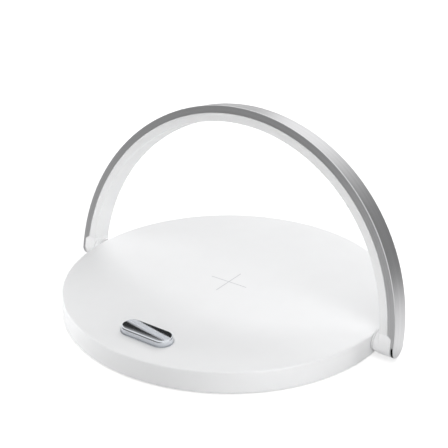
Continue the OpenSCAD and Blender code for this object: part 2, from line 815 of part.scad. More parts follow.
module stop_carrier() {
    color([0.3, 0.31, 0.33]) at_stop() {
        translate([0, 0, plate_low_z]) linear_extrude(carrier_t) stadium(carrier_l, carrier_w);
        for (side = [-1, 1]) translate([side * peg_reach(), 0, plate_z - ease])
            cylinder(d = peg_d, h = 2.3, $fn = 48);
        translate([-hook_w / 2, -hook_w / 2, plate_low_z - hook_l]) cube([hook_w, hook_w, hook_l + ease]);
    }
}

module stop_guide() {
    color([0.86, 0.86, 0.87]) at_stop() translate([0, 0, floor_z]) difference() {
        linear_extrude(hollow_h) stadium(guide_l + 2 * guide_wall, guide_w + 2 * guide_wall);
        translate([0, 0, guide_floor]) linear_extrude(hollow_h) stadium(guide_l, guide_w);
    }
}

module stop_springs() {
    color([0.7, 0.7, 0.72]) at_stop() for (side = [-1, 1]) translate([side * spring_reach, 0, 0])
        coil_spring(guide_z, plate_low_z, spring_d, spring_wire, spring_turns);
}

module stop_latch() {
    well_w = hook_w + 2 * slot_gap;
    color([0.25, 0.5, 0.7]) at_stop() translate([0, 0, guide_z]) linear_extrude(latch_h) difference() {
        square([7, 5], center = true);
        square(well_w, center = true);
    }
}

top_cover();
bottom_cover();
rubber_feet();
cover_screws();
ballast_plate();
coil_tray();
ferrite_disc();
charging_coil();
coil_leads();
main_board();
board_parts();
usb_socket();
touch_spring();
charge_mark();
hinge_bracket_left();
hinge_bracket_right();
bracket_screws();
lamp_lead();
stop_guide();
stop_springs();
stop_latch();
stop_bar();
stop_carrier();
arc_band();
arc_diffuser();
led_strip();
led_chips();
end_cap_left();
end_cap_right();
hinge_shaft_left();
hinge_shaft_right();
spacer_washers();
friction_washers();
shaft_nuts();
strip_lead();
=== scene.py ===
import json
import math

import bpy
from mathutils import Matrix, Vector


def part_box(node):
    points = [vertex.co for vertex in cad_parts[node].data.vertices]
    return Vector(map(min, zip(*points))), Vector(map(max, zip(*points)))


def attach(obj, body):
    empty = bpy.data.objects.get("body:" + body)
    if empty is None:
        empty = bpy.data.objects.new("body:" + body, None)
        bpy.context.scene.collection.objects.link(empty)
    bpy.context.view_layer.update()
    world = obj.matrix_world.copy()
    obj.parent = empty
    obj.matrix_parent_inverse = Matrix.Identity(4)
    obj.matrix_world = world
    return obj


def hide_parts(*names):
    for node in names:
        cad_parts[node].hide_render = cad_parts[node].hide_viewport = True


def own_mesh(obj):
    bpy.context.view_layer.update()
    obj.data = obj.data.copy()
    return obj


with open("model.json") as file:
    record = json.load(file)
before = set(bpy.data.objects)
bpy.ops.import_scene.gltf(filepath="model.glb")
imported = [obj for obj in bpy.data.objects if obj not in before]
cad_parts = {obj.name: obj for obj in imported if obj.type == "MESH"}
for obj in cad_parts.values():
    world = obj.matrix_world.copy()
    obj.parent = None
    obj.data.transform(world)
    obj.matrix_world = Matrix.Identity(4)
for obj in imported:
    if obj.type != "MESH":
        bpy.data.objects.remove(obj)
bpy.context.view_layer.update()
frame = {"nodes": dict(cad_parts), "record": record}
scene = bpy.context.scene
mm = 0.001

# The lamp arm at rest, for the finish that follows its half ring
arm = {
    "hingeZ": 7.2 * mm,             # height of the hinge axis
    "lean": math.radians(80.2),     # above flat behind the disc
    "ringDrop": 1.2 * mm,           # the ring's centre lies this far down the arm from the axis
    "ringRadius": 100.0 * mm,
}


# Small helpers for node trees

def newNode(tree, kind, **values):
    node = tree.nodes.new(kind)
    for key, value in values.items():
        setattr(node, key, value)
    return node


def link(tree, a, b):
    tree.links.new(a, b)


def give(tree, value, socket):      # value is another node's output, or a plain number or vector
    if hasattr(value, "is_linked"):
        link(tree, value, socket)
    else:
        socket.default_value = value


def clearTree(owner, kind):
    owner.use_nodes = True
    tree = owner.node_tree
    tree.nodes.clear()
    return tree, newNode(tree, kind).inputs["Surface"]


def startFinish(name):
    material = bpy.data.materials.new(name)
    tree, surface = clearTree(material, "ShaderNodeOutputMaterial")
    shader = newNode(tree, "ShaderNodeBsdfPrincipled")
    link(tree, shader.outputs["BSDF"], surface)
    return material, tree, shader


def calculate(tree, operation, *values):
    node = newNode(tree, "ShaderNodeMath", operation=operation)
    for value, socket in zip(values, node.inputs):
        give(tree, value, socket)
    return node.outputs["Value"]


def product(tree, first, *others):
    for other in others:
        first = calculate(tree, "MULTIPLY", first, other)
    return first


def flatLength(tree, x, y):
    return calculate(tree, "SQRT", calculate(tree, "ADD", product(tree, x, x), product(tree, y, y)))


def combine(tree, x=0.0, y=0.0, z=0.0):
    node = newNode(tree, "ShaderNodeCombineXYZ")
    for value, socket in zip((x, y, z), node.inputs):
        give(tree, value, socket)
    return node.outputs["Vector"]


def separate(tree, value):
    node = newNode(tree, "ShaderNodeSeparateXYZ")
    link(tree, value, node.inputs["Vector"])
    return node.outputs


def vectorMath(tree, operation, *values):
    node = newNode(tree, "ShaderNodeVectorMath", operation=operation)
    for value, socket in zip(values, node.inputs):
        give(tree, value, socket)
    return node.outputs["Vector" if operation == "NORMALIZE" else "Value"]


def objectCoordinates(tree, scale=(1, 1, 1), location=(0, 0, 0)):
    coordinates = newNode(tree, "ShaderNodeTexCoord")
    mapping = newNode(tree, "ShaderNodeMapping")
    mapping.inputs["Location"].default_value = location
    mapping.inputs["Scale"].default_value = scale
    link(tree, coordinates.outputs["Object"], mapping.inputs["Vector"])
    return mapping.outputs["Vector"]


def noise(tree, place, scale, detail, roughness):
    node = newNode(tree, "ShaderNodeTexNoise")
    node.inputs["Scale"].default_value = scale
    node.inputs["Detail"].default_value = detail
    node.inputs["Roughness"].default_value = roughness
    link(tree, place, node.inputs["Vector"])
    return node.outputs["Fac"]


def spread(tree, value, low=0.0, high=1.0, fromLow=0.25, fromHigh=0.75):
    # a noise seldom leaves 0.25 to 0.75, so that range is drawn out unless another is given
    node = newNode(tree, "ShaderNodeMapRange", clamp=True)
    node.inputs["From Min"].default_value = fromLow
    node.inputs["From Max"].default_value = fromHigh
    node.inputs["To Min"].default_value = low
    node.inputs["To Max"].default_value = high
    link(tree, value, node.inputs["Value"])
    return node.outputs["Result"]


def step(tree, value, low, high):
    node = newNode(tree, "ShaderNodeMapRange", clamp=True, interpolation_type="SMOOTHSTEP")
    node.inputs["From Min"].default_value = low
    node.inputs["From Max"].default_value = high
    link(tree, value, node.inputs["Value"])
    return node.outputs["Result"]


def mix(tree, kind, factor, a, b):
    node = newNode(tree, "ShaderNodeMix", data_type=kind)
    first, result = {"FLOAT": (2, 0), "VECTOR": (4, 1), "RGBA": (6, 2)}[kind]
    for value, index in ((factor, 0), (a, first), (b, first + 1)):
        give(tree, value, node.inputs[index])
    return node.outputs[result]


def mixColour(tree, factor, *colours):
    a, b = (colour if hasattr(colour, "is_linked") else (*colour, 1) for colour in colours)
    return mix(tree, "RGBA", factor, a, b)


def shades(tree, tone, colour, *shares):        # from one share of the colour to another
    ends = [[min(1.0, c * share) for c in colour] for share in shares]
    return mixColour(tree, tone, *ends)


def around(value, changes):
    return [value + change for change in changes]


def bump(tree, shader, height, strength, distance):
    node = newNode(tree, "ShaderNodeBump")
    node.inputs["Strength"].default_value = strength
    node.inputs["Distance"].default_value = distance
    link(tree, height, node.inputs["Height"])
    link(tree, node.outputs["Normal"], shader.inputs["Normal"])
    return node


def turnTo(item, target):
    item.rotation_euler = (Vector(target) - item.location).to_track_quat("-Z", "Y").to_euler()


# Camera

view = {
    "place": (0.27042, -0.38213, 0.25874),
    "aim": (-0.022252, 0.026688, 0.030),
    "lens": 79.69,
    "sensor": 36,
    "nearFar": (0.01, 20),          # clipping distances
}


def addCamera():
    data = bpy.data.cameras.new("studioCamera")
    data.lens = view["lens"]
    data.sensor_width = view["sensor"]
    data.clip_start, data.clip_end = view["nearFar"]
    camera = bpy.data.objects.new("studioCamera", data)
    scene.collection.objects.link(camera)
    camera.location = view["place"]
    turnTo(camera, view["aim"])
    scene.camera = camera


addCamera()
scene.view_settings.view_transform = "Standard"
print("camera placed")


# Stage, lamps and surroundings

stageLook = {
    "floorRadius": 0.9,
    "floorSides": 64,
    "floorColour": 0.62,
    "floorLift": (0.58, 1.0),       # white added to the floor where it is seen directly, close
    "liftReach": (0.25, 0.80),      # and far off, so that it meets the backdrop, and those reaches
    "frontGloss": 0.42,             # what shiny parts see of the floor in front of the object,
    "nearGloss": 0.95,              # close behind it
    "farGloss": 0.22,               # and far behind it
    "farReach": (0.06, 0.35),       # from close to far
    "rearWay": (0.30, 0.95, 0),     # the way that counts as behind
    "rearReach": (0.015, 0.05),     # from in front to behind
    "ambient": 0.34,                # even light from all round
    "glossBase": 1.0,               # what shiny parts see of it between the cards
    "cardTint": (0.99, 0.995, 1.0),
    # cards that shiny parts see: azimuth from the back to the right, height angle,
    # inner and outer angle of the soft edge, brightness
    "cards": {
        "frontDark": (205, 0, 35, 80, 0.19),
        "sideCard": (31, 4, 12, 44, 0.20),
        "backCard": (-42, 20, 13, 19, 0.03),
        "overhead": (0, 90, 25, 50, 1.00),
    },
}

lamps = {
    # name: azimuth from the front to the right, height angle, distance, size, watts
    "topLamp": (54, 56, 0.607, 0.50, 1.17),
    "backLamp": (-160, 43, 0.803, 0.50, 3.27),
    "rightLamp": (130, 14, 0.80, 0.30, 1.50),
    "leftLamp": (-100, 7, 0.80, 0.30, 0.63),
    "rightWash": (44, 6, 0.30, 0.12, 0.125),
    "rightGlow": (50, 7, 0.17, 0.05, 0.009),
    "leftWash": (-56, 4, 0.30, 0.14, 0.24),
    "leftGlow": (-33, 7, 0.17, 0.05, 0.029),
}


def direction(azimuth, height):     # azimuth from the back to the right
    a, h = math.radians(azimuth), math.radians(height)
    return (math.sin(a) * math.cos(h), math.cos(a) * math.cos(h), math.sin(h))


def mixShaders(tree, factor, a, b):
    node = newNode(tree, "ShaderNodeMixShader")
    for value, socket in zip((factor, a, b), node.inputs):
        link(tree, value, socket)
    return node.outputs["Shader"]


def seenDirectly(tree, rays):
    return calculate(tree, "MAXIMUM", rays.outputs["Is Camera Ray"],
                     rays.outputs["Is Transmission Ray"])


def background(tree, colour, strength):
    node = newNode(tree, "ShaderNodeBackground")
    give(tree, colour, node.inputs["Color"])
    node.inputs["Strength"].default_value = strength
    return node.outputs["Background"]


def buildWorld():
    world = bpy.data.worlds.new("studio")
    scene.world = world
    tree, surface = clearTree(world, "ShaderNodeOutputWorld")
    rays = newNode(tree, "ShaderNodeLightPath")
    way = newNode(tree, "ShaderNodeTexCoord").outputs["Generated"]
    colour = (stageLook["glossBase"],) * 3
    for azimuth, height, inner, outer, level in stageLook["cards"].values():
        facing = vectorMath(tree, "DOT_PRODUCT", way, direction(azimuth, height))
        factor = step(tree, facing, math.cos(math.radians(outer)), math.cos(math.radians(inner)))
        colour = mixColour(tree, factor, colour, [level * tint for tint in stageLook["cardTint"]])
    ambient = background(tree, (1, 1, 1, 1), stageLook["ambient"])
    lit = mixShaders(tree, rays.outputs["Is Glossy Ray"], ambient, background(tree, colour, 1.0))
    white = background(tree, (1, 1, 1, 1), 1.0)
    link(tree, mixShaders(tree, seenDirectly(tree, rays), lit, white), surface)


def emission(tree, strength):
    node = newNode(tree, "ShaderNodeEmission")
    link(tree, strength, node.inputs["Strength"])
    return node.outputs["Emission"]


def floorFinish():
    material = bpy.data.materials.new("floorWhite")
    tree, surface = clearTree(material, "ShaderNodeOutputMaterial")
    rays = newNode(tree, "ShaderNodeLightPath")
    place = objectCoordinates(tree)
    reach = vectorMath(tree, "LENGTH", place)
    matte = newNode(tree, "ShaderNodeBsdfDiffuse")
    matte.inputs["Color"].default_value = (stageLook["floorColour"],) * 3 + (1,)
    lift = spread(tree, reach, *stageLook["floorLift"], *stageLook["liftReach"])
    lifted = newNode(tree, "ShaderNodeAddShader")
    link(tree, matte.outputs["BSDF"], lifted.inputs[0])
    link(tree, emission(tree, product(tree, seenDirectly(tree, rays), lift)), lifted.inputs[1])
    behind = vectorMath(tree, "DOT_PRODUCT", place, stageLook["rearWay"])
    far = step(tree, reach, *stageLook["farReach"])
    rearGloss = spread(tree, far, stageLook["nearGloss"], stageLook["farGloss"], 0, 1)
    rear = step(tree, behind, *stageLook["rearReach"])
    mirrored = emission(tree, mix(tree, "FLOAT", rear, stageLook["frontGloss"], rearGloss))
    whole = mixShaders(tree, rays.outputs["Is Glossy Ray"], lifted.outputs["Shader"], mirrored)
    link(tree, whole, surface)
    return material


def buildFloor():
    radius, sides = stageLook["floorRadius"], stageLook["floorSides"]
    turns = [2 * math.pi * k / sides for k in range(sides)]
    ring = [(radius * math.cos(turn), radius * math.sin(turn), 0.0) for turn in turns]
    mesh = bpy.data.meshes.new("floor")
    mesh.from_pydata(ring, [], [list(range(sides))])
    mesh.materials.append(floorFinish())
    floor = bpy.data.objects.new("floor", mesh)
    scene.collection.objects.link(floor)


def addLamps():
    for name, (azimuth, height, distance, size, watts) in lamps.items():
        data = bpy.data.lights.new(name, "AREA")
        data.shape = "DISK"
        data.size = size
        data.energy = watts
        lamp = bpy.data.objects.new(name, data)
        scene.collection.objects.link(lamp)
        lamp.location = Vector(direction(180 - azimuth, height)) * distance
        turnTo(lamp, (0, 0, 0))
        lamp.visible_glossy = False
        lamp.visible_camera = False


buildWorld()
buildFloor()
addLamps()
print("stage built")


# Finishes. A noise is given as its scale, detail and roughness, tones as the shares of the colour
# that it runs between, gloss as the range of the roughness, which is added to the finish's own
# roughness where it has one, and bump as strength and depth.

plastics = {
    # slot: colour, roughness, size of the texture per metre, depth of the texture
    "shell_white": ((0.880, 0.884, 0.890), 0.48, 2600, 0.012 * mm),
    "cap_white": ((0.915, 0.917, 0.922), 0.42, 2600, 0.012 * mm),
    "cover_white": ((0.780, 0.782, 0.790), 0.55, 1400, 0.030 * mm),
    "guide_white": ((0.800, 0.802, 0.810), 0.50, 1600, 0.020 * mm),
    "foot_rubber": ((0.480, 0.482, 0.488), 0.82, 1100, 0.040 * mm),
    "tray_grey": ((0.040, 0.042, 0.045), 0.50, 1500, 0.030 * mm),
    "carrier_grey": ((0.070, 0.072, 0.078), 0.48, 1500, 0.025 * mm),
    "spacer_grey": ((0.760, 0.762, 0.768), 0.55, 1500, 0.020 * mm),
    "latch_blue": ((0.035, 0.140, 0.330), 0.42, 1500, 0.020 * mm),
    "chip_black": ((0.018, 0.018, 0.020), 0.45, 2400, 0.015 * mm),
    "lead_red": ((0.450, 0.022, 0.016), 0.42, 900, 0.010 * mm),
    "lead_white": ((0.760, 0.760, 0.750), 0.42, 900, 0.010 * mm),
    "ferrite_black": ((0.016, 0.016, 0.018), 0.66, 2200, 0.040 * mm),
    "mark_grey": ((0.600, 0.608, 0.625), 0.48, 2600, 0.010 * mm),
}

mould = {
    "cloud": (38, 4, 0.6),          # slow drift of the tone over the moulding
    "tones": (0.985, 1.012),
    "grain": (2, 0.6),              # spark-eroded skin of the mould, at the slot's own scale
    "grainRange": (0.3, 0.7),
    "gloss": (-0.07, 0.04),
    "wear": (160, 5, 0.7),          # handling, which only dulls the gloss
    "wearDepth": 0.10,
    "bump": 0.35,                   # strength alone, as each slot has its own depth
    "ior": 1.47,
}

rim = {
    "topEdge": 0.8 * mm,            # rounding between the disc's top face and its wall
    "lowEdge": 0.5 * mm,            # and under the wall
    "agree": (0.2, 0.4),            # how far the facet has to face the same way
}


def excess(tree, value, limit):     # how far the value is past the limit
    return calculate(tree, "MAXIMUM", calculate(tree, "SUBTRACT", value, limit), 0.0)


def rimNormal(tree):
    # the true normal of the disc's rounded rim, so that its gloss runs on evenly over the facets
    low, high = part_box("top_cover")
    x, y, z = separate(tree, objectCoordinates(tree))
    radius = flatLength(tree, x, y)
    upper = calculate(tree, "GREATER_THAN", z, (low[2] + high[2]) / 2)
    edge = spread(tree, upper, high[0] - rim["lowEdge"], high[0] - rim["topEdge"], 0, 1)
    out = excess(tree, radius, edge)
    above = excess(tree, z, high[2] - rim["topEdge"])
    below = excess(tree, low[2] + rim["lowEdge"], z)
    each = calculate(tree, "DIVIDE", out, radius)
    rise = calculate(tree, "SUBTRACT", above, below)
    toWorld = newNode(tree, "ShaderNodeVectorTransform", vector_type="NORMAL",
                      convert_from="OBJECT", convert_to="WORLD")
    link(tree, combine(tree, product(tree, x, each), product(tree, y, each), rise),
         toWorld.inputs["Vector"])
    rounded = vectorMath(tree, "NORMALIZE", toWorld.outputs["Vector"])
    facet = newNode(tree, "ShaderNodeNewGeometry").outputs["Normal"]
    agree = step(tree, vectorMath(tree, "DOT_PRODUCT", rounded, facet), *rim["agree"])
    onEdge = calculate(tree, "GREATER_THAN", calculate(tree, "ADD", above, below), 0.0)
    share = product(tree, onEdge, calculate(tree, "GREATER_THAN", out, 0.0), agree)
    return mix(tree, "VECTOR", share, facet, rounded)


def mouldedPlastic(slot):
    colour, roughness, scale, depth = plastics[slot]
    material, tree, shader = startFinish(slot)
    place = objectCoordinates(tree)
    tone = spread(tree, noise(tree, place, *mould["cloud"]))
    link(tree, shades(tree, tone, colour, *mould["tones"]), shader.inputs["Base Color"])
    grain = noise(tree, place, scale, *mould["grain"])
    wear = product(tree, noise(tree, place, *mould["wear"]), mould["wearDepth"])
    skin = spread(tree, grain, *around(roughness, mould["gloss"]), *mould["grainRange"])
    link(tree, calculate(tree, "ADD", skin, wear), shader.inputs["Roughness"])
    shader.inputs["IOR"].default_value = mould["ior"]
    skinBump = bump(tree, shader, grain, mould["bump"], depth)
    if slot == "shell_white":
        link(tree, rimNormal(tree), skinBump.inputs["Normal"])
    return material


metals = {
    # slot: colour, roughness, scale along X, Y, Z of the machining marks, depth
    "screw_steel": ((0.46, 0.46, 0.48), 0.32, (900, 900, 6000), 0.006 * mm),
    "ballast_steel": ((0.42, 0.43, 0.45), 0.42, (120, 2600, 400), 0.010 * mm),
    "inlet_steel": ((0.62, 0.63, 0.65), 0.24, (400, 3000, 400), 0.004 * mm),
    "spring_brass": ((0.78, 0.57, 0.24), 0.26, (1500, 1500, 9000), 0.004 * mm),
    "spring_steel": ((0.52, 0.52, 0.54), 0.24, (1500, 1500, 9000), 0.004 * mm),
    "bearing_zinc": ((0.48, 0.49, 0.51), 0.46, (700, 700, 700), 0.030 * mm),
    "shaft_steel": ((0.60, 0.61, 0.63), 0.20, (9000, 500, 500), 0.004 * mm),
    "washer_bronze": ((0.62, 0.45, 0.24), 0.30, (9000, 700, 700), 0.005 * mm),
    "coil_copper": ((0.66, 0.26, 0.10), 0.28, (2200, 2200, 2200), 0.006 * mm),
}

machining = {
    "marks": (1.0, 3, 0.65),
    "cloud": (220, 4, 0.6),
    "tones": (0.84, 1.12),
    "gloss": (-0.06, 0.10),
    "bump": 0.30,
}


def machinedMetal(slot):
    colour, roughness, scale, depth = metals[slot]
    material, tree, shader = startFinish(slot)
    marks = noise(tree, objectCoordinates(tree, scale), *machining["marks"])
    cloud = noise(tree, objectCoordinates(tree), *machining["cloud"])
    tone = spread(tree, product(tree, calculate(tree, "ADD", marks, cloud), 0.5))
    link(tree, shades(tree, tone, colour, *machining["tones"]), shader.inputs["Base Color"])
    shader.inputs["Metallic"].default_value = 1.0
    link(tree, spread(tree, marks, *around(roughness, machining["gloss"])),
         shader.inputs["Roughness"])
    bump(tree, shader, marks, machining["bump"], depth)
    return material


aluminium = {
    "colour": (0.84, 0.84, 0.85),
    "tones": (0.90, 1.08),
    "roughness": 0.30,
    "gloss": (-0.05, 0.07),
    "grain": (1.0, 4, 0.7),                 # fine brushing
    "grainLines": (26, 5200),               # its lines per metre along and across the band
    "streaks": (1.0, 2, 0.5),               # broader streaks in it, which show from further off
    "streakLines": (9, 950),
    "streakRange": (0.36, 0.64),
    "haze": (60, 4, 0.6),                   # slow drift of the gloss
    "hazeDepth": 0.05,
    "bump": (0.25, 0.010 * mm),
    # painted dark reflection on the band's right end, near where the lead enters: black colour in
    # place of the dark that the rounded end edge mirrors
    "darkReflectionColour": (0.012, 0.012, 0.013),
    "darkReflectionFrom": (2.2 * mm, 1.2 * mm),       # its top edge, up the arm
    "darkReflectionInside": (98.7 * mm, 99.0 * mm),   # its inner edge, from the ring's centre
    "darkReflectionSide": (0.0, 20 * mm),             # on the right of the middle only
    "darkReflectionFacing": (0.62, 0.45),             # not on faces that turn to the side
}


def armCoordinates(tree):
    # the object's coordinates turned into the arm's plane: X along the hinge, Y up the arm
    c, s = math.cos(arm["lean"]), math.sin(arm["lean"])
    centre = (0.0, -arm["ringDrop"] * c, arm["hingeZ"] - arm["ringDrop"] * s)
    turn = newNode(tree, "ShaderNodeVectorRotate", rotation_type="X_AXIS")
    turn.inputs["Angle"].default_value = -arm["lean"]
    link(tree, objectCoordinates(tree, location=[-v for v in centre]), turn.inputs["Vector"])
    return separate(tree, turn.outputs["Vector"])


def brushedAluminium():
    material, tree, shader = startFinish("band_aluminium")
    x, y, z = armCoordinates(tree)
    radius = flatLength(tree, x, y)
    run = product(tree, calculate(tree, "ARCTAN2", y, x), arm["ringRadius"])

    def onBand(along, across):
        return combine(tree, product(tree, run, along), product(tree, radius, across),
                       product(tree, z, across))

    grain = noise(tree, onBand(*aluminium["grainLines"]), *aluminium["grain"])
    streaks = noise(tree, onBand(*aluminium["streakLines"]), *aluminium["streaks"])
    tone = calculate(tree, "ADD", spread(tree, grain, 0.0, 0.5),
                     spread(tree, streaks, 0.0, 0.5, *aluminium["streakRange"]))
    metal = shades(tree, tone, aluminium["colour"], *aluminium["tones"])
    faceX = separate(tree, newNode(tree, "ShaderNodeTexCoord").outputs["Normal"])["X"]
    facing = step(tree, calculate(tree, "ABSOLUTE", faceX), *aluminium["darkReflectionFacing"])
    low = step(tree, y, *aluminium["darkReflectionFrom"])
    right = step(tree, x, *aluminium["darkReflectionSide"])
    outer = step(tree, radius, *aluminium["darkReflectionInside"])
    # painted dark reflection: black mixed into the metal's colour on the right end's rounded edge
    paintedReflection = product(tree, product(tree, facing, low), product(tree, right, outer))
    link(tree, mixColour(tree, paintedReflection, metal, aluminium["darkReflectionColour"]), shader.inputs["Base Color"])
    shader.inputs["Metallic"].default_value = 1.0
    brushed = spread(tree, grain, *around(aluminium["roughness"], aluminium["gloss"]))
    haze = product(tree, noise(tree, objectCoordinates(tree), *aluminium["haze"]),
                   aluminium["hazeDepth"])
    link(tree, calculate(tree, "ADD", brushed, haze), shader.inputs["Roughness"])
    bump(tree, shader, grain, *aluminium["bump"])
    return material


lining = {
    "colour": (0.860, 0.863, 0.866),
    "tones": (0.985, 1.012),
    "roughness": 0.34,
    "gloss": (-0.05, 0.06),
    "cloud": (55, 4, 0.6),
    "grain": (3200, 2, 0.6),
    "bump": (0.25, 0.008 * mm),
    "ior": 1.49,
    "milk": 0.25,                           # share of the light that runs below the surface
    "milkColour": (1.0, 0.96, 0.92),
    "milkDepth": 1.2 * mm,
}


def opalLining():
    material, tree, shader = startFinish("lining_opal")
    place = objectCoordinates(tree)
    tone = spread(tree, noise(tree, place, *lining["cloud"]))
    grain = noise(tree, place, *lining["grain"])
    link(tree, shades(tree, tone, lining["colour"], *lining["tones"]), shader.inputs["Base Color"])
    shader.inputs["Subsurface Weight"].default_value = lining["milk"]
    shader.inputs["Subsurface Radius"].default_value = lining["milkColour"]
    shader.inputs["Subsurface Scale"].default_value = lining["milkDepth"]
    shader.inputs["IOR"].default_value = lining["ior"]
    link(tree, spread(tree, grain, *around(lining["roughness"], lining["gloss"])),
         shader.inputs["Roughness"])
    bump(tree, shader, grain, *lining["bump"])
    return material


polish = {
    "colour": (0.76, 0.785, 0.825),
    "tones": (0.97, 1.02),
    "roughness": 0.05,
    "gloss": (-0.02, 0.04),
    "lineScale": (260, 2600, 900),          # fine polishing lines along the bar
    "lines": (1.0, 5, 0.75),
    "lineDepth": 0.0002 * mm,
    "haze": (140, 4, 0.6),
    "middleY": -68.0 * mm,                  # middle of the bar
    "crownRadius": 75.0 * mm,               # the top is polished a little crowned across its width
}


def polishedBar():
    material, tree, shader = startFinish("bar_chrome")
    lines = noise(tree, objectCoordinates(tree, polish["lineScale"]), *polish["lines"])
    tone = spread(tree, noise(tree, objectCoordinates(tree), *polish["haze"]))
    link(tree, shades(tree, tone, polish["colour"], *polish["tones"]), shader.inputs["Base Color"])
    shader.inputs["Metallic"].default_value = 1.0
    link(tree, spread(tree, lines, *around(polish["roughness"], polish["gloss"])),
         shader.inputs["Roughness"])
    y = separate(tree, objectCoordinates(tree, location=(0, -polish["middleY"], 0)))["Y"]
    crown = product(tree, product(tree, y, y), -0.5 / polish["crownRadius"])
    height = calculate(tree, "ADD", crown, product(tree, lines, polish["lineDepth"]))
    bump(tree, shader, height, 1.0, 1.0)    # the height is in metres already
    return material


board = {
    "mask": (0.010, 0.085, 0.035),
    "track": (0.030, 0.170, 0.075),
    "trackScale": 420,
    "trackWidth": 0.12,
    "trackSoftness": 0.3,
    "haze": (700, 3, 0.6),
    "gloss": (0.20, 0.34),
    "bump": (0.5, 0.03 * mm),
}


def circuitBoard():
    material, tree, shader = startFinish("board_green")
    bricks = newNode(tree, "ShaderNodeTexBrick", offset=0.5, squash=1.6, squash_frequency=3)
    bricks.inputs["Scale"].default_value = board["trackScale"]
    bricks.inputs["Mortar Size"].default_value = board["trackWidth"]
    bricks.inputs["Mortar Smooth"].default_value = board["trackSoftness"]
    place = objectCoordinates(tree)
    link(tree, place, bricks.inputs["Vector"])
    tracks = bricks.outputs["Fac"]
    link(tree, mixColour(tree, tracks, board["mask"], board["track"]), shader.inputs["Base Color"])
    link(tree, spread(tree, noise(tree, place, *board["haze"]), *board["gloss"]),
         shader.inputs["Roughness"])
    bump(tree, shader, tracks, *board["bump"])
    return material


stripCoat = {
    "colour": (0.74, 0.74, 0.72),
    "tones": (0.95, 1.03),
    "weave": (900, 4, 0.7),
    "gloss": (0.30, 0.45),
    "bump": (0.3, 0.02 * mm),
}


def stripMask():
    material, tree, shader = startFinish("strip_white")
    weave = noise(tree, objectCoordinates(tree), *stripCoat["weave"])
    link(tree, shades(tree, spread(tree, weave), stripCoat["colour"], *stripCoat["tones"]),
         shader.inputs["Base Color"])
    link(tree, spread(tree, weave, *stripCoat["gloss"]), shader.inputs["Roughness"])
    bump(tree, shader, weave, *stripCoat["bump"])
    return material


resin = {
    "colour": (0.86, 0.70, 0.18),
    "tones": (1.0, 0.82),
    "grainScale": 2600,                     # phosphor grains in the chips' resin
    "grainRange": (0.1, 0.9),
    "gloss": (0.22, 0.36),
    "bump": (0.3, 0.01 * mm),
}


def phosphorResin():
    material, tree, shader = startFinish("chip_phosphor")
    grains = newNode(tree, "ShaderNodeTexVoronoi")
    grains.inputs["Scale"].default_value = resin["grainScale"]
    link(tree, objectCoordinates(tree), grains.inputs["Vector"])
    depth = grains.outputs["Distance"]
    tone = spread(tree, depth, 0.0, 1.0, *resin["grainRange"])
    link(tree, shades(tree, tone, resin["colour"], *resin["tones"]), shader.inputs["Base Color"])
    link(tree, spread(tree, depth, *resin["gloss"], *resin["grainRange"]),
         shader.inputs["Roughness"])
    bump(tree, shader, depth, *resin["bump"])
    return material


finishes = {slot: mouldedPlastic(slot) for slot in plastics}
finishes.update({slot: machinedMetal(slot) for slot in metals})
finishes.update({
    "band_aluminium": brushedAluminium(),
    "lining_opal": opalLining(),
    "bar_chrome": polishedBar(),
    "board_green": circuitBoard(),
    "strip_white": stripMask(),
    "chip_phosphor": phosphorResin(),
})

for part in frame["record"]["subparts"]:
    for materialSlot in frame["nodes"][part["node"]].material_slots:
        materialSlot.material = finishes[part["material_slot"]]
print("finishes given to", len(frame["nodes"]), "nodes")


# Helpers for pieces made with Geometry Nodes: each number of a piece is a named input of its tree

def startTree(name, numbers):
    tree = bpy.data.node_groups.new(name, "GeometryNodeTree")
    tree.interface.new_socket(name="Geometry", in_out="OUTPUT",
                              socket_type="NodeSocketGeometry")
    identifiers = {}
    for key, value in numbers.items():
        kind = "NodeSocketInt" if isinstance(value, int) else "NodeSocketFloat"
        socket = tree.interface.new_socket(name=key, in_out="INPUT", socket_type=kind)
        identifiers[key] = socket.identifier
    return tree, newNode(tree, "NodeGroupInput").outputs, identifiers


def circle(tree, sides, radius):
    node = newNode(tree, "GeometryNodeCurvePrimitiveCircle")
    give(tree, sides, node.inputs["Resolution"])
    give(tree, radius, node.inputs["Radius"])
    return node.outputs["Curve"]


def helix(tree, perTurn, turns, startRadius, endRadius, height):
    node = newNode(tree, "GeometryNodeCurveSpiral")
    names = ("Resolution", "Rotations", "Start Radius", "End Radius", "Height")
    for value, name in zip((perTurn, turns, startRadius, endRadius, height), names):
        give(tree, value, node.inputs[name])
    return node.outputs["Curve"]


def sweep(tree, curve, radius, sides, caps=False):      # a smooth tube round a curve
    tube = newNode(tree, "GeometryNodeCurveToMesh")
    tube.inputs["Fill Caps"].default_value = caps
    link(tree, curve, tube.inputs["Curve"])
    link(tree, circle(tree, sides, radius), tube.inputs["Profile Curve"])
    smooth = newNode(tree, "GeometryNodeSetShadeSmooth")
    link(tree, tube.outputs["Mesh"], smooth.inputs["Geometry"])
    return smooth.outputs["Geometry"]


def moved(tree, geometry, offset):
    node = newNode(tree, "GeometryNodeTransform")
    link(tree, geometry, node.inputs["Geometry"])
    link(tree, offset, node.inputs["Translation"])
    return node.outputs["Geometry"]


def joined(tree, parts):
    node = newNode(tree, "GeometryNodeJoinGeometry")
    for part in parts:
        link(tree, part, node.inputs["Geometry"])
    return node.outputs["Geometry"]


def pointRow(tree, count, start, offset, mode="OFFSET"):
    node = newNode(tree, "GeometryNodeMeshLine", mode=mode)
    for value, name in ((count, "Count"), (start, "Start Location"), (offset, "Offset")):
        give(tree, value, node.inputs[name])
    return node.outputs["Mesh"]


def onEach(tree, points, instance, scale=(1, 1, 1)):
    node = newNode(tree, "GeometryNodeInstanceOnPoints")
    link(tree, points, node.inputs["Points"])
    link(tree, instance, node.inputs["Instance"])
    give(tree, scale, node.inputs["Scale"])
    return node.outputs["Instances"]


def realized(tree, geometry):
    node = newNode(tree, "GeometryNodeRealizeInstances")
    link(tree, geometry, node.inputs["Geometry"])
    return node.outputs["Geometry"]


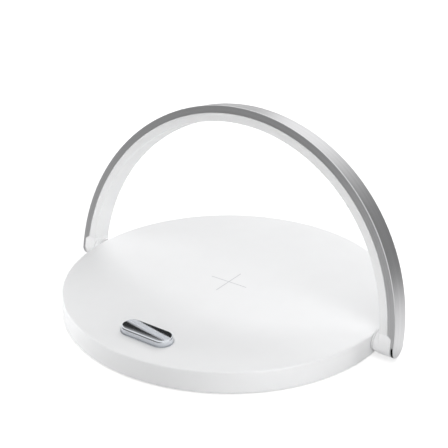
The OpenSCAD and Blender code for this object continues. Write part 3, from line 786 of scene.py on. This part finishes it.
def makePiece(name, tree, geometry, identifiers, numbers, body, slot):
    painted = newNode(tree, "GeometryNodeSetMaterial")
    painted.inputs["Material"].default_value = finishes[slot]
    link(tree, realized(tree, geometry), painted.inputs["Geometry"])
    link(tree, painted.outputs["Geometry"], newNode(tree, "NodeGroupOutput").inputs["Geometry"])
    piece = bpy.data.objects.new(name, bpy.data.meshes.new(name))
    scene.collection.objects.link(piece)
    modifier = piece.modifiers.new("nodes", "NODES")
    modifier.node_group = tree
    for key, value in numbers.items():
        modifier[identifiers[key]] = value
    evaluated = piece.evaluated_get(bpy.context.evaluated_depsgraph_get())
    mesh = bpy.data.meshes.new_from_object(evaluated)
    piece.modifiers.clear()
    piece.data = mesh
    mesh.name = name
    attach(piece, body)
    return piece


# Soft lip that closes the gap round the stop bar, along the slot's outline
slotLip = {
    "length": 29.3 * mm + 0.30 * mm,        # the bar and the gap round it
    "width": 11.2 * mm + 0.30 * mm,
    "endShare": 0.4999,             # radius of the round ends, as a share of the width
    "steps": 24,                    # points in each corner
    "lip": 0.11 * mm,               # radius of the lip itself
    "lipSides": 10,
    "middleY": -68.0 * mm,
    "middleZ": 11.45 * mm,
}


def makeSlotLip():
    tree, values, identifiers = startTree("slotLipNodes", slotLip)
    outline = newNode(tree, "GeometryNodeCurvePrimitiveQuadrilateral")
    link(tree, values["length"], outline.inputs["Width"])
    link(tree, values["width"], outline.inputs["Height"])
    fillet = newNode(tree, "GeometryNodeFilletCurve", mode="POLY")
    link(tree, outline.outputs["Curve"], fillet.inputs["Curve"])
    link(tree, values["steps"], fillet.inputs["Count"])
    link(tree, product(tree, values["width"], values["endShare"]), fillet.inputs["Radius"])
    slot = moved(tree, fillet.outputs["Curve"],
                 combine(tree, 0.0, values["middleY"], values["middleZ"]))
    lip = sweep(tree, slot, values["lip"], values["lipSides"])
    return makePiece("slotLip", tree, lip, identifiers, slotLip, "base", "guide_white")


# Contact blades on both faces of the inlet's tongue
contacts = {
    "count": 12,                    # on each face
    "pitch": 0.5 * mm,
    "bladeWidth": 0.24 * mm,
    "bladeLength": 4.2 * mm,
    "bladeHeight": 0.05 * mm,
    "faceHeight": 0.35 * mm,        # from the middle of the tongue
    "middleY": 83.2 * mm,
    "middleZ": 7.38 * mm,
}


def makeContacts():
    tree, values, identifiers = startTree("contactNodes", contacts)
    blade = newNode(tree, "GeometryNodeMeshCube")
    link(tree, combine(tree, values["bladeWidth"], values["bladeLength"], values["bladeHeight"]),
         blade.inputs["Size"])
    points = pointRow(tree, values["count"], (0, 0, 0), combine(tree, values["pitch"]))
    gaps = calculate(tree, "SUBTRACT", values["count"], 1.0)
    startX = product(tree, gaps, values["pitch"], -0.5)
    rows = []
    for side in (-1, 1):
        height = calculate(tree, "ADD", product(tree, values["faceHeight"], side),
                           values["middleZ"])
        placed = moved(tree, points, combine(tree, startX, values["middleY"], height))
        rows.append(onEach(tree, placed, blade.outputs["Mesh"]))
    return makePiece("inletContacts", tree, joined(tree, rows), identifiers, contacts, "base",
                     "spring_brass")


# Stiffening rings moulded on the underside of the bottom cover
coverRings = {
    "count": 4,
    "firstRadius": 22.0 * mm,
    "spacing": 7.0 * mm,
    "sides": 128,                   # points round each ring
    "bead": 0.45 * mm,              # radius of the bead
    "beadSides": 12,
    "level": 0.62 * mm,
}


def makeCoverRings():
    tree, values, identifiers = startTree("coverRingNodes", coverRings)
    points = pointRow(tree, values["count"], combine(tree, 0.0, 0.0, values["level"]), (0, 0, 0))
    index = newNode(tree, "GeometryNodeInputIndex").outputs["Index"]
    radius = calculate(tree, "ADD", product(tree, index, values["spacing"]),
                       values["firstRadius"])
    rings = onEach(tree, points, circle(tree, values["sides"], 1.0),
                   combine(tree, radius, radius, 1.0))
    beads = sweep(tree, realized(tree, rings), values["bead"], values["beadSides"])
    return makePiece("coverRings", tree, beads, identifiers, coverRings, "base", "cover_white")


# Transmitter coil: two strands wound side by side into one flat spiral
coil = {
    "innerRadius": 10.65 * mm,
    "outerRadius": 22.35 * mm,
    "turns": 9.0,
    "steps": 432,                   # points in each strand
    "strandGap": 0.62 * mm,
    "strand": 0.31 * mm,            # strand radius
    "strandSides": 10,
}


def makeCoil():
    low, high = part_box("charging_coil")
    numbers = dict(coil, level=(low[2] + high[2]) / 2)
    tree, values, identifiers = startTree("coilNodes", numbers)
    perTurn = calculate(tree, "DIVIDE", values["steps"], values["turns"])
    strands = []
    for side in (-0.5, 0.5):
        shift = product(tree, values["strandGap"], side)
        inner = calculate(tree, "ADD", values["innerRadius"], shift)
        outer = calculate(tree, "ADD", values["outerRadius"], shift)
        path = helix(tree, perTurn, values["turns"], inner, outer, 0.0)
        strand = sweep(tree, path, values["strand"], values["strandSides"], caps=True)
        strands.append(moved(tree, strand, combine(tree, 0.0, 0.0, values["level"])))
    spiral = makePiece("coilSpiral", tree, joined(tree, strands), identifiers, numbers, "base",
                       "coil_copper")
    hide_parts("charging_coil")
    return spiral


# Return springs of the stop bar, with closed ends
springs = {
    "turns": 4.0,
    "steps": 24,                    # points in each turn
    "radius": 2.1 * mm,
    "wire": 0.175 * mm,             # wire radius
    "wireSides": 8,
    "reach": 9.5 * mm,              # each spring's distance from the middle of the bar
}


def makeSprings():
    low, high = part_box("stop_springs")
    height, middleY = high[2] - low[2], (low[1] + high[1]) / 2
    numbers = dict(springs, bottom=low[2], height=height, middleY=middleY)
    tree, values, identifiers = startTree("springNodes", numbers)
    rise = calculate(tree, "SUBTRACT", values["height"], product(tree, values["wire"], 2.0))
    curves = [helix(tree, values["steps"], values["turns"], values["radius"], values["radius"],
                    rise)]
    for level in (0, 1):
        end = circle(tree, values["steps"], values["radius"])
        curves.append(moved(tree, end, combine(tree, 0.0, 0.0, product(tree, rise, level))))
    spring = sweep(tree, joined(tree, curves), values["wire"], values["wireSides"], caps=True)
    foot = calculate(tree, "ADD", values["bottom"], values["wire"])
    feet = [combine(tree, product(tree, values["reach"], side), values["middleY"], foot)
            for side in (-1, 1)]
    both = onEach(tree, pointRow(tree, 2, *feet, mode="END_POINTS"), spring)
    pair = makePiece("returnSprings", tree, both, identifiers, numbers, "base", "spring_steel")
    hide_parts("stop_springs")
    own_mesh(pair)
    return pair


for piece in (makeSlotLip(), makeContacts(), makeCoverRings(), makeCoil(), makeSprings()):
    print(piece.name, len(piece.data.polygons), "faces")
